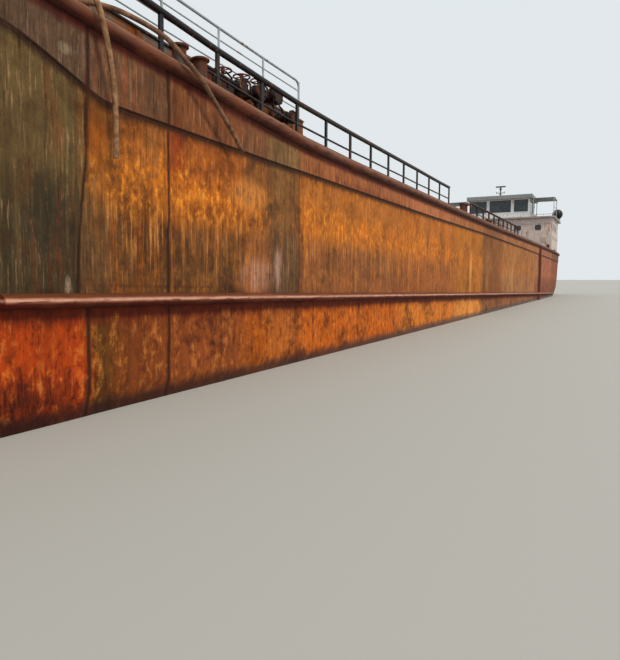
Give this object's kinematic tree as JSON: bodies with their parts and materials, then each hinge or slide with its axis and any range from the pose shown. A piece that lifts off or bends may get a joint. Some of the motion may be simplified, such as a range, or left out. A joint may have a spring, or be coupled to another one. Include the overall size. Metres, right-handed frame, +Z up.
{
  "type": "half-scale model of an inland oil tanker",
  "caption": "Long flat-bottomed river oil tanker at half size, with a rusty slab-sided hull, railed deck with pipes and hatches, and a white wheelhouse aft.",
  "frame": {"origin": "middle of the flat bottom, amidships on the centreline, at the centre of the bounding box's bottom face", "axes": "+X towards the bow, +Y to port, +Z up; the hull's flat bottom lies on z = 0"},
  "size_m": [39, 5.6253, 6.56],
  "materials": {
    "hull_steel": "rusted plating, streaked orange, brown and amber",
    "deck_steel": "worn and rusted deck plating",
    "bar_steel": "rubbed pinkish-tan steel bar",
    "dark_rail": "nearly black weathered paint",
    "rust_rail": "rust-brown weathered paint",
    "pale_rail": "pale blue-grey paint",
    "pipe_steel": "dark brown rusted paint",
    "gear_iron": "greased cast iron under worn green-grey paint",
    "white_paint": "white paint with rust weeps",
    "grey_paint": "light grey paint",
    "house_paint": "pinkish-grey faded paint",
    "black_paint": "dull black paint",
    "bronze": "dull propeller bronze",
    "hose_rubber": "grey-beige weathered rubber hose"
  },
  "bodies": {
    "hull": {"hull": "hull_steel", "main_deck": "deck_steel", "sheer_bar_port": "bar_steel", "sheer_bar_starboard": "bar_steel", "mid_strake_port": "bar_steel", "mid_strake_starboard": "bar_steel", "side_rail_fore_port": "dark_rail", "side_rail_fore_starboard": "dark_rail", "side_rail_aft_port": "rust_rail", "side_rail_aft_starboard": "rust_rail", "fore_trunk": "deck_steel", "trunk_rail": "pale_rail", "cargo_lines": "pipe_steel", "manifold_port": "pipe_steel", "manifold_starboard": "pipe_steel", "windlass_frame": "gear_iron", "foremast": "white_paint", "davit_pillar": "grey_paint", "lower_house": "house_paint", "boat_deck": "grey_paint", "wheelhouse": "white_paint", "wheelhouse_roof": "grey_paint", "wing_awning_port": "grey_paint", "wing_awning_starboard": "grey_paint", "radar_mast": "grey_paint", "signal_ball": "black_paint", "funnel": "black_paint", "boat_deck_rail": "white_paint", "shaft_bracket_port": "hull_steel", "shaft_bracket_starboard": "hull_steel", "hanging_hose_fore": "hose_rubber", "hanging_hose_aft": "hose_rubber", "anchor_port": "gear_iron", "anchor_starboard": "gear_iron", "stern_rail": "white_paint"},
    "windlass_drum": {"windlass_drum": "gear_iron"},
    "davit_jib": {"davit_jib": "grey_paint"},
    "hatch_lid_1": {"hatch_lid_1": "deck_steel"},
    "hatch_lid_2": {"hatch_lid_2": "deck_steel"},
    "hatch_lid_3": {"hatch_lid_3": "deck_steel"},
    "hatch_lid_4": {"hatch_lid_4": "deck_steel"},
    "house_door_port": {"house_door_port": "house_paint"},
    "house_door_starboard": {"house_door_starboard": "house_paint"},
    "bridge_door_port": {"bridge_door_port": "white_paint"},
    "bridge_door_starboard": {"bridge_door_starboard": "white_paint"},
    "radar_scanner": {"radar_scanner": "grey_paint"},
    "propeller_port": {"propeller_port": "bronze"},
    "propeller_starboard": {"propeller_starboard": "bronze"},
    "rudder_port": {"rudder_port": "hull_steel"},
    "rudder_starboard": {"rudder_starboard": "hull_steel"}
  },
  "joints": [
    {"name": "propeller_port_turn", "type": "hinge", "parent": "hull", "child": "propeller_port", "pos_m": [-17.45, 1.3, 0.475], "axis": [1, 0, 0], "continuous": true},
    {"name": "propeller_starboard_turn", "type": "hinge", "parent": "hull", "child": "propeller_starboard", "pos_m": [-17.45, -1.3, 0.475], "axis": [1, 0, 0], "continuous": true},
    {"name": "rudder_port_steer", "type": "hinge", "parent": "hull", "child": "rudder_port", "pos_m": [-17.98, 1.3, 0.5], "axis": [0, 0, 1], "range_deg": [-35, 35]},
    {"name": "rudder_starboard_steer", "type": "hinge", "parent": "hull", "child": "rudder_starboard", "pos_m": [-17.98, -1.3, 0.5], "axis": [0, 0, 1], "range_deg": [-35, 35]},
    {"name": "windlass_turn", "type": "hinge", "parent": "hull", "child": "windlass_drum", "pos_m": [16.9, 0, 3.2008], "axis": [0, 1, 0], "continuous": true},
    {"name": "davit_slew", "type": "hinge", "parent": "hull", "child": "davit_jib", "pos_m": [2.3, -1.5, 3.2], "axis": [0, 0, 1], "range_deg": [-120, 120]},
    {"name": "hatch_1_open", "type": "hinge", "parent": "hull", "child": "hatch_lid_1", "pos_m": [5.6, 1.226, 2.8594], "axis": [1, 0, 0], "range_deg": [0, 105]},
    {"name": "hatch_2_open", "type": "hinge", "parent": "hull", "child": "hatch_lid_2", "pos_m": [-1.4, 1.226, 2.98516], "axis": [1, 0, 0], "range_deg": [0, 105]},
    {"name": "hatch_3_open", "type": "hinge", "parent": "hull", "child": "hatch_lid_3", "pos_m": [-8.4, 1.226, 3.12772], "axis": [1, 0, 0], "range_deg": [0, 105]},
    {"name": "hatch_4_open", "type": "hinge", "parent": "hull", "child": "hatch_lid_4", "pos_m": [-11.6, 1.226, 3.18647], "axis": [1, 0, 0], "range_deg": [0, 105]},
    {"name": "house_door_port_open", "type": "hinge", "parent": "hull", "child": "house_door_port", "pos_m": [-18.115, 1.5, 3.5], "axis": [0, 0, 1], "range_deg": [0, 110]},
    {"name": "house_door_starboard_open", "type": "hinge", "parent": "hull", "child": "house_door_starboard", "pos_m": [-18.115, -1.5, 3.5], "axis": [0, 0, -1], "range_deg": [0, 110]},
    {"name": "bridge_door_port_open", "type": "hinge", "parent": "hull", "child": "bridge_door_port", "pos_m": [-16.95, 1.49, 5.2], "axis": [0, 0, 1], "range_deg": [0, 110]},
    {"name": "bridge_door_starboard_open", "type": "hinge", "parent": "hull", "child": "bridge_door_starboard", "pos_m": [-16.95, -1.49, 5.2], "axis": [0, 0, -1], "range_deg": [0, 110]},
    {"name": "scanner_turn", "type": "hinge", "parent": "hull", "child": "radar_scanner", "pos_m": [-16.3, -0.15, 6.43], "axis": [0, 0, 1], "continuous": true}
  ]
}
